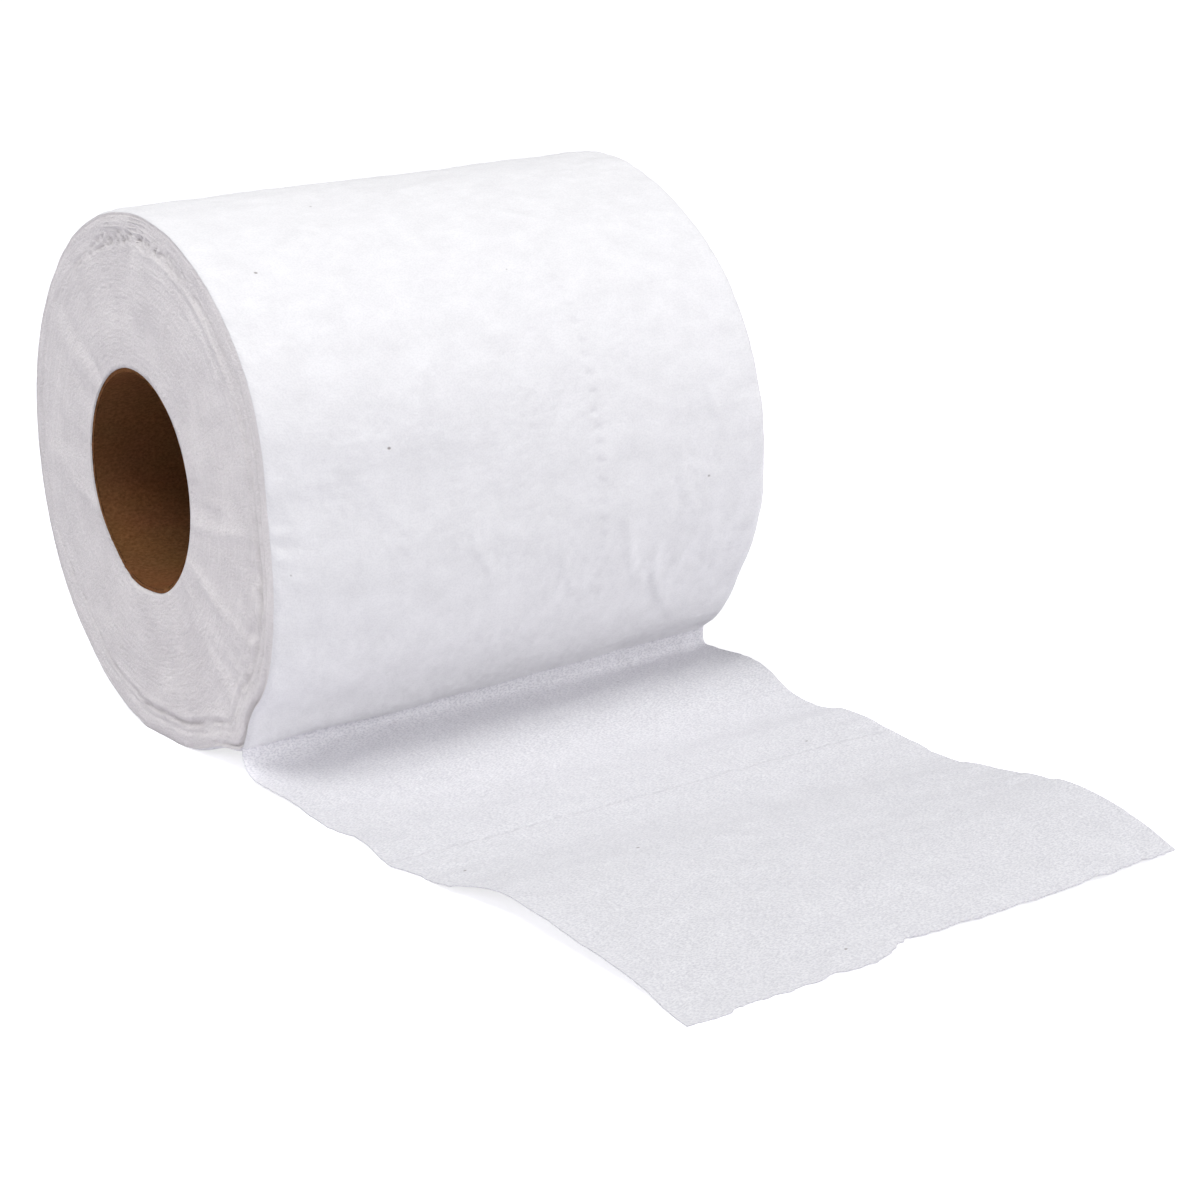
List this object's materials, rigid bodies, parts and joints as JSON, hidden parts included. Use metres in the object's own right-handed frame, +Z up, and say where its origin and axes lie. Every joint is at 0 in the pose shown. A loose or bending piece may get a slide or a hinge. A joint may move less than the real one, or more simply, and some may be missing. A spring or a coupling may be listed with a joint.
{
  "type": "toilet paper roll",
  "caption": "Soft paper wound on a board tube, lying on its side on a small flat spot, with the loose end laid out in front of it.",
  "frame": {"origin": "middle of the hole in the core tube, half way along the roll", "axes": "+X along the roll from its near end to its far end, -Y toward the torn end of the loose paper, +Z up"},
  "size_m": [0.1034, 0.2263, 0.0999],
  "materials": {
    "core_board": "matte unbleached board",
    "tissue": "matte soft embossed tissue"
  },
  "bodies": {
    "root": {"core_tube": "core_board", "tissue_roll": "tissue"}
  },
  "joints": []
}
